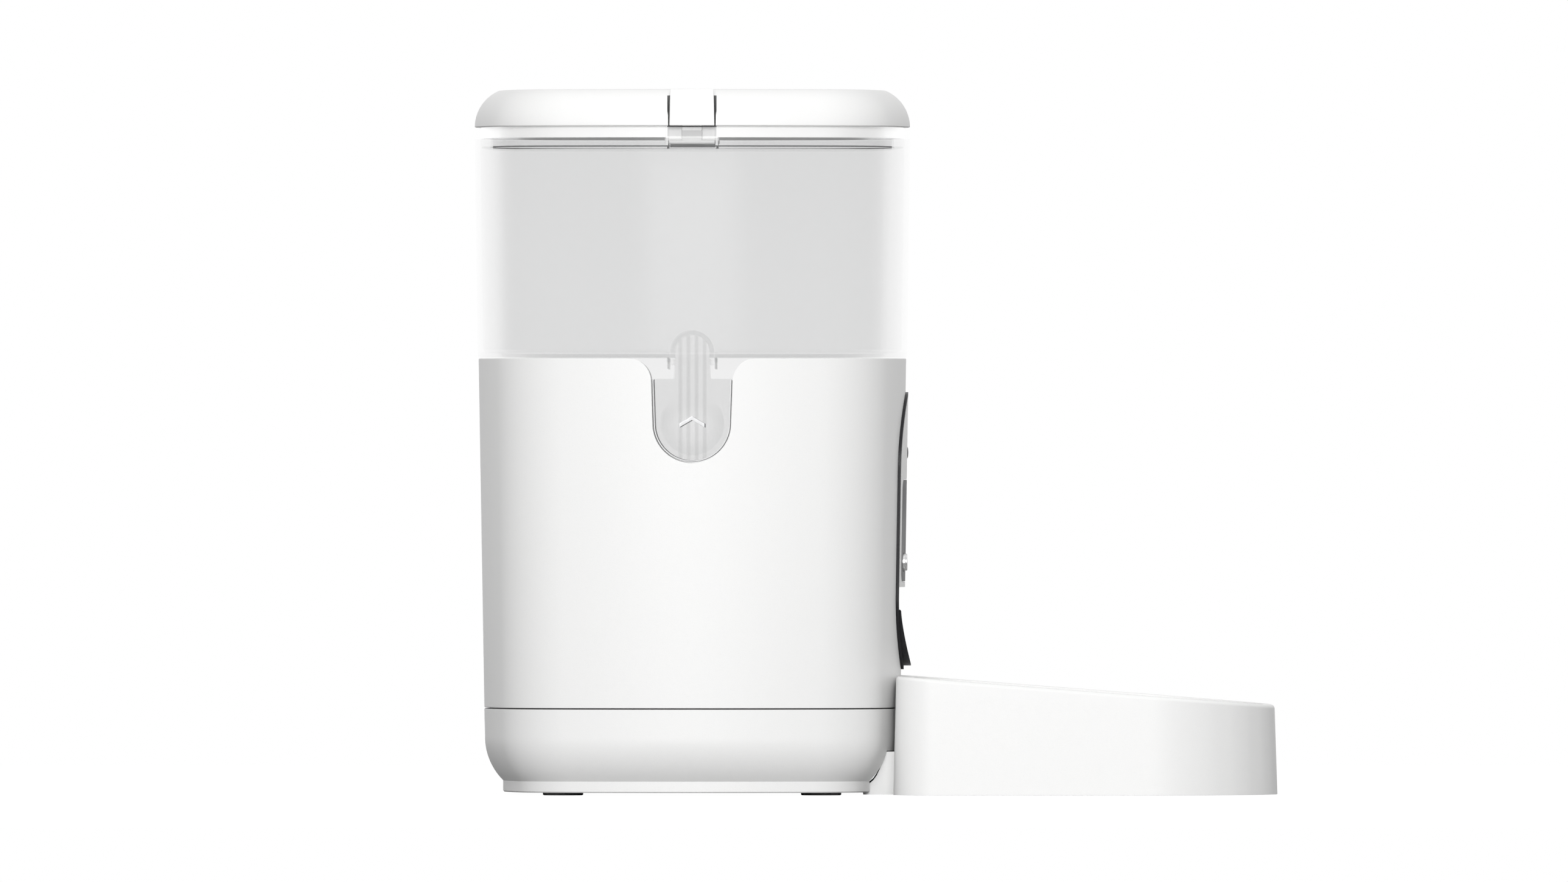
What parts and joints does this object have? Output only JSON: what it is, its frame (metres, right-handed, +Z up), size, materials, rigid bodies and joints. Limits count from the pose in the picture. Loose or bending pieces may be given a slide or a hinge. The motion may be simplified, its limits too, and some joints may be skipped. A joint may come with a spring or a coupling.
{
  "type": "smart pet feeder",
  "caption": "Free-standing automatic pet feeder: white drafted body, translucent lift-off food bin with latched lid, black front panel with spout, and a steel bowl in a pull-out tray.",
  "frame": {"origin": "bottom centre of the bounding box, on the table", "axes": "+Z up, the bowl and front panel face -Y, the power inlet faces +Y, +X is the feeder's left-hand side as it faces the pet"},
  "size_m": [0.1904, 0.3508, 0.3074],
  "materials": {
    "white_shell": "satin moulded white",
    "clear_bin": "translucent clear",
    "black_trim": "gloss black",
    "smoked_screen": "smoked gloss",
    "bare_steel": "drawn stainless",
    "silver_trim": "satin silver",
    "motor_can": "plain can",
    "soft_rubber": "matt black",
    "soft_silicone": "milky",
    "board_green": "solder mask",
    "grey_inner": "matt grey",
    "cell_sleeve": "printed sleeve"
  },
  "bodies": {
    "housing": {"base_shell": "white_shell", "main_housing": "white_shell", "inner_chassis": "white_shell", "outlet_chute": "white_shell", "face_plate": "white_shell", "fascia_bezel": "black_trim", "outlet_spout": "black_trim", "speaker": "black_trim", "dc_jack": "black_trim", "display_window": "smoked_screen", "status_lens": "smoked_screen", "contact_strip_front": "bare_steel", "contact_strip_back": "bare_steel", "drive_motor": "motor_can", "foot_front_left": "soft_rubber", "foot_back_left": "soft_rubber", "foot_front_right": "soft_rubber", "foot_back_right": "soft_rubber", "control_board": "board_green", "gearbox": "grey_inner", "battery_tub": "grey_inner", "battery_cell_1": "cell_sleeve", "battery_cell_2": "cell_sleeve", "battery_cell_3": "cell_sleeve"},
    "rotor": {"dispensing_rotor": "soft_silicone", "output_shaft": "bare_steel"},
    "hopper": {"food_hopper": "clear_bin"},
    "tab_left": {"release_tab_left": "clear_bin"},
    "tab_right": {"release_tab_right": "clear_bin"},
    "lid": {"lid_shell": "white_shell", "lid_seal": "soft_silicone", "desiccant_box": "white_shell"},
    "holder_cover": {"desiccant_cover": "white_shell"},
    "latch_left": {"lid_latch_left": "white_shell"},
    "latch_right": {"lid_latch_right": "white_shell"},
    "key_left": {"button_left": "silver_trim"},
    "key_middle": {"button_middle": "silver_trim"},
    "key_right": {"button_right": "silver_trim"},
    "tray": {"bowl_tray": "white_shell"},
    "bowl": {"food_bowl": "bare_steel"},
    "door": {"battery_door": "white_shell"}
  },
  "joints": [
    {"name": "rotor_spin", "type": "hinge", "parent": "housing", "child": "rotor", "pos_m": [0, 0.0802, 0.1146], "axis": [0, 0, 1], "continuous": true},
    {"name": "hopper_lift", "type": "slide", "parent": "housing", "child": "hopper", "axis": [0, 0, 1], "range_m": [0, 0.11]},
    {"name": "tab_left_rock", "type": "hinge", "parent": "hopper", "child": "tab_left", "pos_m": [-0.09197, 0.0802, 0.1887], "axis": [0, -1, 0], "range_deg": [0, 5], "stiffness_Nm_per_rad": 0.6, "springref_deg": -1.15},
    {"name": "tab_right_rock", "type": "hinge", "parent": "hopper", "child": "tab_right", "pos_m": [0.09197, 0.0802, 0.1887], "axis": [0, 1, 0], "range_deg": [0, 5], "stiffness_Nm_per_rad": 0.6, "springref_deg": -1.15},
    {"name": "lid_lift", "type": "slide", "parent": "hopper", "child": "lid", "axis": [0, 0, 1], "range_m": [0, 0.06]},
    {"name": "cover_twist", "type": "hinge", "parent": "lid", "child": "holder_cover", "pos_m": [0, 0.0802, 0.2923], "axis": [0, 0, 1], "range_deg": [0, 30]},
    {"name": "latch_left_rock", "type": "hinge", "parent": "lid", "child": "latch_left", "pos_m": [-0.0905, 0.0802, 0.2843], "axis": [0, 1, 0], "range_deg": [0, 4], "stiffness_Nm_per_rad": 0.5, "springref_deg": -1.15},
    {"name": "latch_right_rock", "type": "hinge", "parent": "lid", "child": "latch_right", "pos_m": [0.0905, 0.0802, 0.2843], "axis": [0, -1, 0], "range_deg": [0, 4], "stiffness_Nm_per_rad": 0.5, "springref_deg": -1.15},
    {"name": "key_left_press", "type": "slide", "parent": "housing", "child": "key_left", "axis": [0, 1, 0], "range_m": [0, 0.0008], "stiffness_N_per_m": 1500, "springref_m": -0.0002},
    {"name": "key_middle_press", "type": "slide", "parent": "housing", "child": "key_middle", "axis": [0, 1, 0], "range_m": [0, 0.0008], "stiffness_N_per_m": 1500, "springref_m": -0.0002},
    {"name": "key_right_press", "type": "slide", "parent": "housing", "child": "key_right", "axis": [0, 1, 0], "range_m": [0, 0.0008], "stiffness_N_per_m": 1500, "springref_m": -0.0002},
    {"name": "tray_pull", "type": "slide", "parent": "housing", "child": "tray", "axis": [0, -1, 0], "range_m": [0, 0.08]},
    {"name": "bowl_lift", "type": "slide", "parent": "tray", "child": "bowl", "axis": [0, 0, 1], "range_m": [0, 0.045]},
    {"name": "door_swing", "type": "hinge", "parent": "housing", "child": "door", "pos_m": [0, 0.04865, 0.0012], "axis": [-1, 0, 0], "range_deg": [0, 100]}
  ]
}
